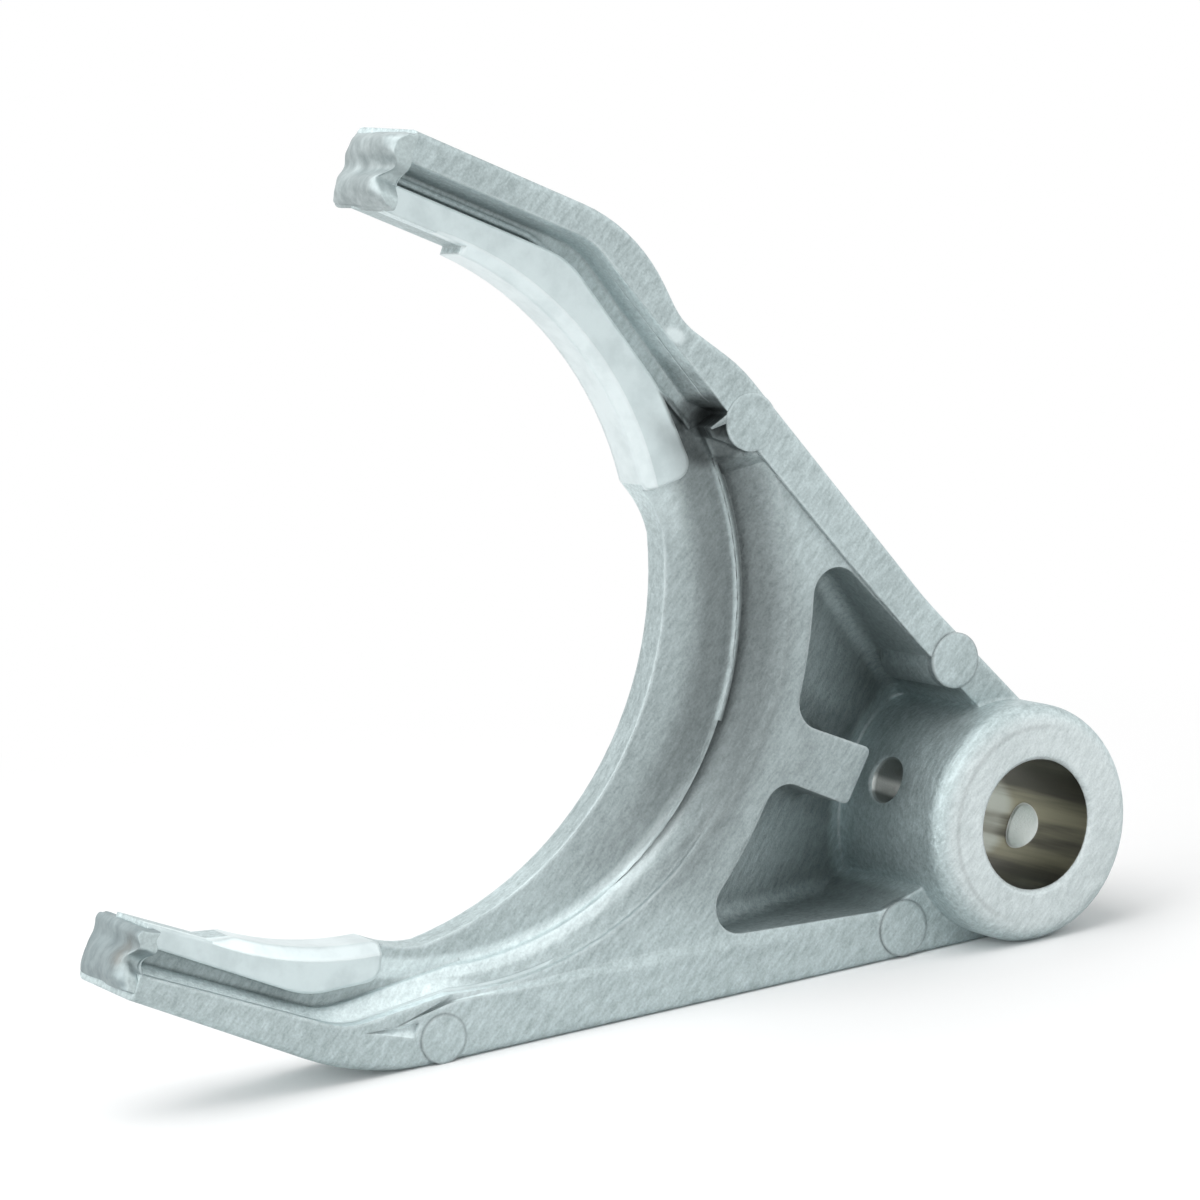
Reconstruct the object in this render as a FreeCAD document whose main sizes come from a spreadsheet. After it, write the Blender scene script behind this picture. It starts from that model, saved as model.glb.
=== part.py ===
# Transmission shift fork: one aluminium die casting that slides on a shift rail and
# carries a synchroniser sleeve between the two pads of its mouth.
import FreeCAD, Part
import math
import os
import re
import Sketcher

# The driving dimensions, in millimetres and degrees. Depths are counted from the front
# face of the boss. "across" and "up" are measured from the rail's axis, with the line
# from the rail to the sleeve's axis laid level; stance_turn then stands the fork on the
# flat strip of its lower edge.
SIZES = {
    "boss_length": 25.2,
    "boss_radius": 14.6,
    "boss_edge_round": 2.6,
    "rail_bore_radius": 7.975,
    "rail_bore_chamfer": 0.5,
    "pin_hole_radius": 2.78,
    "pin_hole_lip": 0.5,
    "stance_turn": 24.6,
    "sleeve_distance": 94.1,
    "sleeve_radius": 39.1,
    "mouth_half_width": 40.1,
    "upper_pad_start": 93.0,
    "lower_pad_start": 97.0,
    "rim_radius": 41.6,
    "upper_reach": 105.6,
    "lower_reach": 106.6,
    "end_slant": 2.0,
    "upper_prong_side": 49.4,
    "lower_prong_side": 48.2,
    "lower_bend_drop": 50.2,
    "lower_bend_round": 32.0,
    "upper_bend": 73.9,
    "upper_bend_round": 20.0,
    "waist_round": 9.0,
    "shoulder_round": 20.0,
    "arm_round": 60.0,
    "flange_front": 6.5,
    "flange_back": 17.2,
    "flange_edge_round": 0.9,
    "land_front": 7.1,
    "foot_bend_round": 10.0,
    "pad_front": 8.0,
    "pad_back": 14.0,
    "pad_chamfer": 1.3,
    "pad_corner_round": 2.0,
    "upper_pad_bend": 80.6,
    "lower_pad_bend": 84.3,
    "pad_bend_round": 10.0,
    "pad_flank_round": 15.0,
    "rib_side": 43.2,
    "lower_rib_tip": 42.3,
    "rib_back": 15.7,
    "upper_pad_end": 35.6,
    "lower_pad_end": 65.4,
    "blend_turn": 6.5,
    "blend_round": 12.0,
    "recess_floor": 10.2,
    "recess_foot_round": 0.8,
    "step_distance": 82.0,
    "step_radius": 39.4,
    "step_rise": 0.7,
    "terrace_distance": 80.5,
    "terrace_radius": 41.5,
    "terrace_top": 7.9,
    "terrace_foot": 9.3,
    "terrace_width": 3.8,
    "terrace_wall": 45.4,
    "channel_wall": 45.1,
    "channel_lip": 45.9,
    "channel_bend": 79.0,
    "channel_bend_round": 9.0,
    "lower_channel_wall": 44.4,
    "lower_channel_bend": 81.4,
    "ridge_line": 44.4,
    "ridge_bend": 84.2,
    "ridge_width": 0.6,
    "ridge_top": 9.6,
    "valley_floor": 10.8,
    "valley_radius": 36.0,
    "valley_slope_width": 4.4,
    "dam_up": 30.4,
    "dam_slope": 3.0,
    "back_recess_radius": 46.0,
    "back_recess_side": 44.1,
    "back_slope": 21.8,
    "back_slope_start": 31.0,
    "web_thickness": 3.0,
    "pocket_arc_radius": 60.3,
    "pocket_side": 45.0,
    "pocket_round": 3.4,
    "pocket_floor_round": 2.0,
    "spoke_top": 2.6,
    "spoke_bottom": 3.9,
    "spoke_end": 22.0,
    "spoke_end_drop": 1.0,
    "spoke_end_round": 0.8,
    "post_radius": 3.4,
    "small_post_radius": 2.8,
    "post_front": 6.3,
    "notch_depth": 0.6,
}

# Places in the plane of the fork that the outlines turn at, as across and up
SPOTS = {
    "waist": (-64.6, 41.4),
    "shoulder": (-55.3, 39.3),
    "arm_foot": (-20.5, 21.7),
    "arm_root": (-2.0, 14.2),
    "shoulder_post": (-52.2, 33.6),
    "arm_post": (-14.3, 16.0),
    "strip_post": (-10.2, -16.7),
    "bend_post": (-67.1, -43.7),
    "land_top": (-54.5, 33.0),
    "land_side": (-61.0, 28.0),
    "land_arm": (-33.7, 22.7),
    "land_root": (-19.7, 16.2),
    "land_boss": (-8.0, 11.4),
    "foot_start": (-73.5, -44.0),
    "foot_bend": (-67.2, -39.4),
    "foot_end": (-14.0, -13.9),
    "foot_lip_end": (-14.0, -20.0),
    "pit_start": (-59.4, 33.6),
    "pit_start_lip": (-57.8, 35.0),
    "pit_end": (-55.4, 33.6),
    "pit_side": (-57.3, 31.0),
    "ridge_end": (-58.0, 31.2),
    "upper_rim": (-62.0, 26.0),
    "lower_rim": (-68.0, -33.0),
    "floor_corner": (-66.0, -35.0),
    "terrace_corner": (-64.0, -36.4),
    "valley": (-77.7, 3.3),
    "pad_flank": (-64.3, 33.5),
    "pad_tip": (-56.6, 25.9),
    "pad_inside": (-64.0, 20.0),
    "lower_pad_tip": (-76.2, -39.4),
    "lower_pad_inside": (-77.3, -35.0),
    "pocket_arm": (-36.9, 23.6),
    "pocket_boss": (-4.0, 9.6),
    "pocket_strip": (-14.0, -15.6),
    "pocket_corner": (-36.0, -24.0),
    "notch_start": (-76.7, -45.3),
    "notch_top": (-70.6, -42.7),
    "notch_foot": (-70.6, -43.3),
    "notch_lip": (-70.6, -45.9),
}
for word, (across, up) in SPOTS.items():
    SIZES[word + "_across"] = across
    SIZES[word + "_up"] = up

doc = FreeCAD.newDocument("shift_fork")
sheet = doc.addObject("Spreadsheet::Sheet", "sizes")
for row, (word, size) in enumerate(SIZES.items(), start=1):
    sheet.set(f"A{row}", word)
    sheet.set(f"B{row}", str(size))
    sheet.setAlias(f"B{row}", word)
doc.recompute()

# Planes that lie clear of the fork, where a cut or a mould block may end
FAR_FRONT = "-boss_length"
FAR_BACK = "2 * boss_length"
FAR_LEFT = "-2 * lower_reach"

ACROSS_UP = FreeCAD.Rotation(FreeCAD.Vector(1, 0, 0), 90)
ALONG_RAIL = FreeCAD.Rotation(FreeCAD.Vector(1, 0, 0), -90)
TOLERANCE = 0.01


def sized(formula):
    """A formula with the sheet's name put before each of its sizes."""
    def placed(found):
        return "sizes." + found[0] if found[0] in SIZES else found[0]

    return re.sub(r"[a-z][a-z_]+", placed, formula)


def value(formula):
    """The number that a formula of sizes gives now."""
    return float(sheet.evalExpression(sized(formula)))


def depth(formula):
    """The Y place of a depth behind the front face of the boss."""
    return f"({formula}) - boss_length / 2"


def spot(word, rounding=None):
    """One of the named places as a corner of an outline."""
    return (word + "_across", word + "_up", rounding)


def outline(name, corners):
    """A closed sketch of straight sides, with a corner for each (across, up, rounding)."""
    sketch = doc.addObject("Sketcher::SketchObject", name)
    places = [FreeCAD.Vector(value(across), value(up), 0) for across, up, rounding in corners]
    count = len(corners)
    ends = []
    for number, (across, up, rounding) in enumerate(corners):
        here = places[number]
        if not rounding:
            ends.append((here, here, None))
            continue
        before = (places[number - 1] - here).normalize()
        after = (places[(number + 1) % count] - here).normalize()
        half = before.getAngle(after) / 2
        run = value(rounding) / math.tan(half)
        middle = (before + after).normalize() * (value(rounding) / math.sin(half)) + here
        ends.append((here + before * run, here + after * run, middle))
    rules = []
    named = []
    sides = []
    for number in range(count):
        start = ends[number][1]
        stop = ends[(number + 1) % count][0]
        sides.append(sketch.addGeometry(Part.LineSegment(start, stop), False))
    for number, (across, up, rounding) in enumerate(corners):
        first, second, middle = ends[number]
        side_in = sides[number - 1]
        side_out = sides[number]
        if middle is None:
            rules.append(Sketcher.Constraint("Coincident", side_in, 2, side_out, 1))
            held = side_out
        else:
            spoke_in = first - middle
            spoke_out = second - middle
            angle_in = math.atan2(spoke_in.y, spoke_in.x)
            angle_out = math.atan2(spoke_out.y, spoke_out.x)
            circle = Part.Circle(middle, FreeCAD.Vector(0, 0, 1), spoke_in.Length)
            if spoke_in.cross(spoke_out).z > 0:
                arc = sketch.addGeometry(Part.ArcOfCircle(circle, angle_in, angle_out), False)
                end_in, end_out = 1, 2
            else:
                arc = sketch.addGeometry(Part.ArcOfCircle(circle, angle_out, angle_in), False)
                end_in, end_out = 2, 1
            held = sketch.addGeometry(Part.Point(places[number]), True)
            rules.append(Sketcher.Constraint("Tangent", side_in, 2, arc, end_in))
            rules.append(Sketcher.Constraint("Tangent", arc, end_out, side_out, 1))
            rules.append(Sketcher.Constraint("PointOnObject", held, 1, side_in))
            rules.append(Sketcher.Constraint("PointOnObject", held, 1, side_out))
            rules.append(Sketcher.Constraint("Radius", arc, spoke_in.Length))
            named.append((len(rules) - 1, rounding))
        rules.append(Sketcher.Constraint("DistanceX", held, 1, places[number].x))
        named.append((len(rules) - 1, across))
        rules.append(Sketcher.Constraint("DistanceY", held, 1, places[number].y))
        named.append((len(rules) - 1, up))
    sketch.addConstraint(rules)
    for number, formula in named:
        sketch.setExpression(f"Constraints[{number}]", sized(formula))
    return sketch


def standing(name, corners, at):
    """An outline stood in the plane of the fork, at a depth."""
    sketch = outline(name, corners)
    sketch.Placement = FreeCAD.Placement(FreeCAD.Vector(0, 0, 0), ACROSS_UP)
    sketch.setExpression("Placement.Base.y", sized(depth(at)))
    return sketch


def prism(name, corners, front, back):
    """An outline in the plane of the fork, extruded from one depth to another."""
    solid = doc.addObject("Part::Extrusion", name)
    solid.Base = standing(name + "_outline", corners, front)
    solid.DirMode = "Custom"
    solid.Dir = FreeCAD.Vector(0, 1, 0)
    solid.Solid = True
    solid.setExpression("LengthFwd", sized(f"({back}) - ({front})"))
    return solid


def tapered(name, front_corners, back_corners, front, back):
    """A solid that runs straight from an outline at one depth to one at another."""
    solid = doc.addObject("Part::Loft", name)
    solid.Sections = [
        standing(name + "_front", front_corners, front),
        standing(name + "_back", back_corners, back),
    ]
    solid.Solid = True
    solid.Ruled = True
    return solid


def side_prism(name, corners, bottom, top):
    """A profile of across and depth, extruded from one height to another."""
    sketch = outline(name + "_profile", corners)
    sketch.setExpression("Placement.Base.z", sized(bottom))
    solid = doc.addObject("Part::Extrusion", name)
    solid.Base = sketch
    solid.DirMode = "Custom"
    solid.Dir = FreeCAD.Vector(0, 0, 1)
    solid.Solid = True
    solid.setExpression("LengthFwd", sized(f"({top}) - ({bottom})"))
    return solid


def disc(name, radius, front, back, across="0", up="0"):
    """A round solid whose axis is parallel to the rail."""
    solid = doc.addObject("Part::Cylinder", name)
    solid.Placement = FreeCAD.Placement(FreeCAD.Vector(0, 0, 0), ALONG_RAIL)
    solid.setExpression("Radius", sized(radius))
    solid.setExpression("Height", sized(f"({back}) - ({front})"))
    solid.setExpression("Placement.Base.x", sized(across))
    solid.setExpression("Placement.Base.y", sized(depth(front)))
    solid.setExpression("Placement.Base.z", sized(up))
    return solid


def cone(name, front_radius, back_radius, front, back, across="0", up="0"):
    """A tapered round solid whose axis is parallel to the rail."""
    solid = doc.addObject("Part::Cone", name)
    solid.Placement = FreeCAD.Placement(FreeCAD.Vector(0, 0, 0), ALONG_RAIL)
    solid.setExpression("Radius1", sized(front_radius))
    solid.setExpression("Radius2", sized(back_radius))
    solid.setExpression("Height", sized(f"({back}) - ({front})"))
    solid.setExpression("Placement.Base.x", sized(across))
    solid.setExpression("Placement.Base.y", sized(depth(front)))
    solid.setExpression("Placement.Base.z", sized(up))
    return solid


def joined(name, pieces):
    """Solids fused into one."""
    solid = doc.addObject("Part::MultiFuse", name)
    solid.Shapes = pieces
    return solid


def cut(name, base, tool):
    """One solid with another taken out of it."""
    solid = doc.addObject("Part::Cut", name)
    solid.Base = base
    solid.Tool = tool
    return solid


def shared(name, pieces):
    """The space that solids share."""
    solid = doc.addObject("Part::MultiCommon", name)
    solid.Shapes = pieces
    return solid


def rounded(name, base, radius, wanted):
    """A solid with the edges that a test picks rounded to one radius."""
    doc.recompute()
    size = value(radius)
    edges = [(number, size, size) for number, edge in enumerate(base.Shape.Edges, start=1) if wanted(edge)]
    print(name, "rounds", len(edges), "edges")
    solid = doc.addObject("Part::Fillet", name)
    solid.Base = base
    solid.Edges = edges
    return solid


def lies_at(edge, y):
    """Whether an edge lies wholly in the plane of one Y."""
    box = edge.BoundBox
    return abs(box.YMin - y) < TOLERANCE and abs(box.YMax - y) < TOLERANCE


# The plate: its outer edge, with the bends of the two prongs and the long straight edges
LOWER_BEND_ACROSS = "(boss_radius / cos(stance_turn) - lower_bend_drop) / tan(stance_turn)"
plate_edge = [
    ("-upper_reach", "upper_prong_side", None),
    ("-lower_reach", "-lower_prong_side", None),
    (LOWER_BEND_ACROSS, "-lower_bend_drop", "lower_bend_round"),
    ("boss_radius * sin(stance_turn)", "-boss_radius * cos(stance_turn)", None),
    ("rail_bore_radius / 2", "0", None),
    spot("arm_root"),
    spot("arm_foot", "arm_round"),
    spot("shoulder", "shoulder_round"),
    spot("waist", "waist_round"),
    ("-upper_bend", "upper_prong_side", "upper_bend_round"),
]
plate = prism("plate", plate_edge, "flange_front", "boss_length")

# The side profile leaves the back flat along the prongs and sloping out towards the boss
BACK_ABOVE_RAIL = "flange_back + back_slope_start * tan(back_slope)"
plate_profile = [
    (FAR_LEFT, "-boss_length", None),
    ("boss_length", "-boss_length", None),
    ("boss_length", "boss_length * tan(back_slope) + " + depth(BACK_ABOVE_RAIL), None),
    ("-back_slope_start", depth("flange_back"), None),
    (FAR_LEFT, depth("flange_back"), None),
]
profile = side_prism("profile", plate_profile, FAR_LEFT, "2 * lower_reach")
flanged = shared("flanged", [plate, profile])


def is_plate_rim(edge):
    """The front and back edges that run round the outside of the plate."""
    box = edge.BoundBox
    front = value(depth("flange_front"))
    back = value(depth("flange_back"))
    at_face = lies_at(edge, front) or box.YMin > back - TOLERANCE
    crosses = box.XLength < box.ZLength / 20
    return at_face and not crosses and box.XMax < -value("boss_radius") / 2


blank = rounded("blank", flanged, "flange_edge_round", is_plate_rim)

# The land inside the flanges lies a little lower than they do. Its lower side is a slope.
land_floor = [
    spot("land_top"),
    spot("land_side"),
    ("land_side_across", "lower_rim_up", None),
    spot("foot_start"),
    spot("foot_bend", "foot_bend_round"),
    spot("foot_end"),
    spot("land_boss"),
    spot("land_root"),
    spot("land_arm"),
]
land_mouth = land_floor[:5] + [spot("foot_lip_end")] + land_floor[6:]
land = tapered("land", land_mouth, land_floor, "2 * flange_front - land_front", "land_front")

# The stepped recess in front of the rim. A terrace slopes down from the land, and inside
# it a short step leads to the floor. The terrace stops at a dam beside the shoulder's post.
lower_terrace_top = [
    (FAR_LEFT, "-terrace_wall", None),
    (FAR_LEFT, "-sleeve_radius / 2", None),
    ("-lower_pad_start", "-sleeve_radius / 2", None),
    spot("lower_rim"),
    spot("terrace_corner"),
    ("-channel_bend", "-terrace_wall", "channel_bend_round"),
]
lower_terrace_foot = lower_terrace_top[:4] + [
    spot("floor_corner"),
    ("-lower_channel_bend", "-lower_channel_wall", "channel_bend_round"),
]
lower_terrace_foot[0] = (FAR_LEFT, "-lower_channel_wall", None)
terrace_round = joined("terrace_round", [
    disc("terrace_wall_cut", "terrace_radius", "0", "terrace_top", "-terrace_distance", "step_rise"),
    cone("terrace_slope", "terrace_radius", "terrace_radius - terrace_width", "terrace_top", "terrace_foot",
         "-terrace_distance", "step_rise"),
])
below_dam = prism("below_dam", [
    (FAR_LEFT, "dam_up", None),
    (FAR_LEFT, FAR_LEFT, None),
    ("0", FAR_LEFT, None),
    ("0", "dam_up", None),
], "0", FAR_BACK)
terrace = joined("terrace", [
    shared("terrace_arc", [terrace_round, below_dam]),
    prism("lower_terrace_wall", lower_terrace_top, "0", "terrace_top"),
    tapered("lower_terrace_slope", lower_terrace_top, lower_terrace_foot, "terrace_top", "terrace_foot"),
])
floor_disc = disc("floor_disc", "step_radius", "0", "recess_floor", "-step_distance", "step_rise")
recess = rounded("recess", floor_disc, "recess_foot_round",
                 lambda edge: lies_at(edge, value(depth("recess_floor"))))

# The channels between the ribs of the prongs and their flanges
upper_channel_floor = [
    (FAR_LEFT, "channel_wall", None),
    ("-channel_bend", "channel_wall", "channel_bend_round"),
    spot("pit_start"),
    spot("pit_end"),
    spot("pit_side"),
    spot("upper_rim"),
    ("-upper_pad_start", "sleeve_radius / 2", None),
    (FAR_LEFT, "sleeve_radius / 2", None),
]
upper_channel_lip = list(upper_channel_floor)
upper_channel_lip[0] = (FAR_LEFT, "2 * channel_lip - channel_wall", None)
upper_channel_lip[1] = ("-channel_bend", "2 * channel_lip - channel_wall", "channel_bend_round")
PIT_LIP_ACROSS = "2 * pit_start_lip_across - pit_start_across"
upper_channel_lip[2] = (PIT_LIP_ACROSS, "2 * pit_start_lip_up - pit_start_up", None)
upper_channel = tapered("upper_channel", upper_channel_lip, upper_channel_floor,
                        "2 * flange_front - recess_floor", "recess_floor")
lower_channel = prism("lower_channel", lower_terrace_foot, "0", "recess_floor")

# A dark valley runs behind the step in the upper half of the recess, up to a dam beside the post
valley_cone = cone("valley_cone", "valley_radius + valley_slope_width", "valley_radius", "land_front",
                   "valley_floor", "valley_across", "valley_up")
valley_mouth = [
    ("-sleeve_distance", "dam_up", None),
    ("-sleeve_distance", "-sleeve_radius", None),
    ("0", "-sleeve_radius", None),
    ("0", "dam_up", None),
]
valley_bed = [
    ("-sleeve_distance", "dam_up - dam_slope", None),
    ("-sleeve_distance", "-sleeve_radius", None),
    ("0", "-sleeve_radius", None),
    ("0", "dam_up - dam_slope", None),
]
valley_side = tapered("valley_side", valley_mouth, valley_bed, "land_front", "valley_floor")
step_core = disc("step_core", "step_radius", FAR_FRONT, FAR_BACK, "-step_distance", "step_rise")
valley = cut("valley", shared("valley_part", [valley_cone, valley_side]), step_core)

# The back of the rim and of the ribs lies forward of the flange's back
back_arc = disc("back_arc", "back_recess_radius", "pad_back", FAR_BACK, "-sleeve_distance")
back_ribs = prism("back_ribs", [
    (FAR_LEFT, "back_recess_side", None),
    (FAR_LEFT, "-back_recess_side", None),
    ("-sleeve_distance", "-back_recess_side", None),
    ("-sleeve_distance", "back_recess_side", None),
], "rib_back", FAR_BACK)

# A shallow notch beside the post at the lower bend
notch = tapered("notch", [spot("notch_start"), spot("notch_lip"), spot("notch_top")],
                [spot("notch_start"), spot("notch_foot"), spot("notch_top")],
                "flange_front - notch_depth", "flange_front + notch_depth")

front_cuts = joined("front_cuts", [
    land,
    terrace,
    recess,
    upper_channel,
    lower_channel,
    valley,
    back_arc,
    back_ribs,
    notch,
])
stepped = cut("stepped", blank, front_cuts)

# The low ridge that follows the channel and the step, between two grooves
ridge_path = [
    ("-upper_reach", "ridge_line", None),
    ("-ridge_bend", "ridge_line", "channel_bend_round"),
    spot("ridge_end"),
]
ridge_back_path = [
    ("ridge_end_across", "ridge_end_up - ridge_width", None),
    ("-ridge_bend", "ridge_line - ridge_width", "channel_bend_round"),
    ("-upper_reach", "ridge_line - ridge_width", None),
]
channel_ridge = prism("channel_ridge", ridge_path + ridge_back_path, "ridge_top", "pad_back")
ridge_outside = disc("ridge_outside", "step_radius + ridge_width", "ridge_top", "pad_back",
                     "-step_distance", "step_rise")
ridge_inside = disc("ridge_inside", "step_radius", FAR_FRONT, FAR_BACK, "-step_distance", "step_rise")
arc_ridge = shared("arc_ridge", [
    cut("ridge_ring", ridge_outside, ridge_inside),
    prism("ridge_side", [
        ("-step_distance", "0", None),
        ("0", "0", None),
        ("0", "dam_up", None),
        ("-step_distance", "dam_up", None),
    ], "0", FAR_BACK),
])

# The ribs along the prongs and the pads that bear on the sleeve, added to the recesses
INSIDE_RIB = "sleeve_radius - pad_chamfer"
upper_pad = prism("upper_pad", [
    ("-upper_reach", "rib_side", None),
    ("-upper_reach", INSIDE_RIB, None),
    ("-sleeve_distance", INSIDE_RIB, None),
    spot("pad_inside"),
    spot("pad_tip", "pad_corner_round"),
    spot("pad_flank", "pad_flank_round"),
    ("-upper_pad_bend", "rib_side", "pad_bend_round"),
], "pad_front", "pad_back")
lower_pad = prism("lower_pad", [
    ("-lower_reach", "-lower_rib_tip", None),
    ("-lower_pad_bend", "-rib_side", "pad_bend_round"),
    spot("lower_pad_tip", "pad_corner_round"),
    spot("lower_pad_inside"),
    ("-sleeve_distance", "-(" + INSIDE_RIB + ")", None),
    ("-lower_reach", "-(" + INSIDE_RIB + ")", None),
], "pad_front", "pad_back")

# The pocket round the boss: one space, with the spoke standing into it from the arc
pocket_edge = [
    ("-pocket_side", "pocket_arm_up + (pocket_side + pocket_arm_across) * tan(stance_turn)", None),
    ("-pocket_side", "spoke_top", None),
    ("-spoke_end", "spoke_top", "spoke_end_round"),
    ("-spoke_end - spoke_end_drop", "-spoke_bottom - spoke_end_round", "spoke_end_round"),
    ("-pocket_side", "-spoke_bottom", None),
    ("-pocket_side", "pocket_corner_up - (pocket_side + pocket_corner_across) * tan(stance_turn)", None),
    spot("pocket_strip"),
    ("rail_bore_radius / 2", "0", None),
    spot("pocket_boss"),
    spot("land_root"),
]
pocket_block = prism("pocket_block", pocket_edge, "0", FAR_BACK)
FLOOR_ABOVE_RAIL = BACK_ABOVE_RAIL + " - web_thickness"
pocket_profile = side_prism("pocket_profile", [
    (FAR_LEFT, "-boss_length", None),
    ("boss_length", "-boss_length", None),
    ("boss_length", "boss_length * tan(back_slope) + " + depth(FLOOR_ABOVE_RAIL), None),
    (FAR_LEFT, FAR_LEFT + " * tan(back_slope) + " + depth(FLOOR_ABOVE_RAIL), None),
], FAR_LEFT, "2 * lower_reach")
pocket_arc = disc("pocket_arc", "pocket_arc_radius", FAR_FRONT, FAR_BACK, "-sleeve_distance")
pocket_space = cut("pocket_space", shared("pocket_sloped", [pocket_block, pocket_profile]), pocket_arc)


def is_pocket_corner(edge):
    """The upright corners of the pocket, where the arc wall meets a flange or the spoke."""
    box = edge.BoundBox
    is_upright = box.XLength < TOLERANCE and box.ZLength < TOLERANCE
    return is_upright and box.XMax < -value("spoke_end + boss_radius / 2")


pocket_upright = rounded("pocket_upright", pocket_space, "pocket_round", is_pocket_corner)


def is_pocket_foot(edge):
    """The edges where the pocket's walls meet its sloping floor."""
    slope = math.tan(math.radians(value("back_slope")))
    start = value(depth(FLOOR_ABOVE_RAIL))
    points = edge.discretize(3)
    on_floor = all(abs(point.y - start - slope * point.x) < 2 * TOLERANCE for point in points)
    return on_floor and edge.BoundBox.XMax < value("rail_bore_radius / 3")


pocket = rounded("pocket", pocket_upright, "pocket_floor_round", is_pocket_foot)

# The boss that rides on the rail
boss_blank = disc("boss_blank", "boss_radius", "0", "boss_length")
boss = rounded("boss", boss_blank, "boss_edge_round", lambda edge: edge.BoundBox.YLength < TOLERANCE)

# The round posts that the casting is pushed out of its die by
posts = [
    disc(word, radius, "post_front", "flange_back", word + "_across", word + "_up")
    for word, radius in [
        ("shoulder_post", "post_radius"),
        ("arm_post", "post_radius"),
        ("strip_post", "post_radius"),
        ("bend_post", "small_post_radius"),
    ]
]

# The mouth that the sleeve turns in
mouth = joined("mouth", [
    disc("mouth_round", "sleeve_radius", FAR_FRONT, FAR_BACK, "-sleeve_distance"),
    prism("mouth_sides", [
        (FAR_LEFT, "mouth_half_width", None),
        (FAR_LEFT, "-mouth_half_width", None),
        ("-lower_pad_start", "-mouth_half_width", None),
        ("-sleeve_distance", "-sleeve_radius", None),
        ("-upper_pad_start", "-sleeve_radius / 2", None),
        ("-upper_pad_start", "mouth_half_width", None),
    ], FAR_FRONT, FAR_BACK),
])


def on_arc(radius, angle, rounding=None):
    """A corner at a radius and an angle about the sleeve's axis."""
    return (f"-sleeve_distance + ({radius}) * cos({angle})", f"({radius}) * sin({angle})", rounding)


# Between the pads the rim stands back from the sleeve, with a curved blend at either end.
# The corners beyond the rim let the wedge clear the rim's circle, which then cuts the rim.
CLEAR_TURN = "3 * blend_turn"
BEYOND_RIM = f"rim_radius / cos({CLEAR_TURN})"
rim_wedge = prism("rim_wedge", [
    on_arc("sleeve_radius", "upper_pad_end"),
    on_arc("rim_radius", "upper_pad_end - blend_turn", "blend_round"),
    on_arc(BEYOND_RIM, f"upper_pad_end - blend_turn - {CLEAR_TURN}"),
    on_arc("rim_radius + boss_radius", "0"),
    on_arc(BEYOND_RIM, f"-lower_pad_end + blend_turn + {CLEAR_TURN}"),
    on_arc("rim_radius", "-lower_pad_end + blend_turn", "blend_round"),
    on_arc("sleeve_radius", "-lower_pad_end"),
    on_arc("sleeve_radius / 2", "0"),
], FAR_FRONT, FAR_BACK)
rim_round = disc("rim_round", "rim_radius", FAR_FRONT, FAR_BACK, "-sleeve_distance")
rim_gap = shared("rim_gap", [rim_wedge, rim_round])

pad_chamfer = cone("pad_chamfer_cone", "sleeve_radius + 2 * pad_chamfer", "sleeve_radius",
                   "pad_front - pad_chamfer", "pad_front + pad_chamfer", "-sleeve_distance")

# The ends of the prongs slant back, where the metal that fed the casting was broken off
ends = []
for word, reach, bottom, top in [
    ("upper_end", "upper_reach", "0", "2 * upper_prong_side"),
    ("lower_end", "lower_reach", "-2 * lower_prong_side", "0"),
]:
    run = "end_slant / (flange_back - flange_front)"
    ends.append(side_prism(word, [
        (f"-{reach} + end_slant + {run} * flange_front", depth("0"), None),
        (f"-{reach} - {run} * flange_front", depth("flange_back + flange_front"), None),
        (FAR_LEFT, depth("flange_back + flange_front"), None),
        (FAR_LEFT, depth("0"), None),
    ], bottom, top))

# The bore for the rail, with its chamfers, and the hole for the roll pin through both walls
bore = joined("bore", [
    disc("rail_bore", "rail_bore_radius", FAR_FRONT, FAR_BACK),
    cone("front_chamfer", "rail_bore_radius + 2 * rail_bore_chamfer", "rail_bore_radius",
         "-rail_bore_chamfer", "rail_bore_chamfer"),
    cone("back_chamfer", "rail_bore_radius", "rail_bore_radius + 2 * rail_bore_chamfer",
         "boss_length - rail_bore_chamfer", "boss_length + rail_bore_chamfer"),
])
ACROSS_RAIL = FreeCAD.Rotation(FreeCAD.Vector(0, 1, 0), -90)
pin_hole = doc.addObject("Part::Cylinder", "pin_hole")
pin_hole.Placement = FreeCAD.Placement(FreeCAD.Vector(0, 0, 0), ACROSS_RAIL)
pin_hole.setExpression("Radius", sized("pin_hole_radius"))
pin_hole.setExpression("Height", sized("3 * boss_radius"))
pin_hole.setExpression("Placement.Base.x", sized("1.5 * boss_radius"))
pin_lip = doc.addObject("Part::Cone", "pin_lip")
pin_lip.Placement = FreeCAD.Placement(FreeCAD.Vector(0, 0, 0), ACROSS_RAIL)
pin_lip.setExpression("Radius1", sized("pin_hole_radius"))
pin_lip.setExpression("Radius2", sized("pin_hole_radius + 2 * pin_hole_lip"))
pin_lip.setExpression("Height", sized("2 * pin_hole_lip"))
pin_lip.setExpression("Placement.Base.x", sized("-boss_radius + pin_hole_lip"))

openings = joined("openings", [mouth, rim_gap, pad_chamfer, bore, pin_hole, pin_lip] + ends)
pocketed = cut("pocketed", stepped, pocket)
solid_fork = joined("solid_fork", [pocketed, channel_ridge, arc_ridge, upper_pad, lower_pad, boss] + posts)
fork = cut("fork", solid_fork, openings)
fork.Label = "shift_fork"
upright_turn = FreeCAD.Rotation(FreeCAD.Vector(0, 1, 0), value("stance_turn"))
fork.Placement = FreeCAD.Placement(FreeCAD.Vector(0, 0, 0), upright_turn)
fork.setExpression("Placement.Rotation.Angle", sized("stance_turn"))
doc.recompute()

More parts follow.
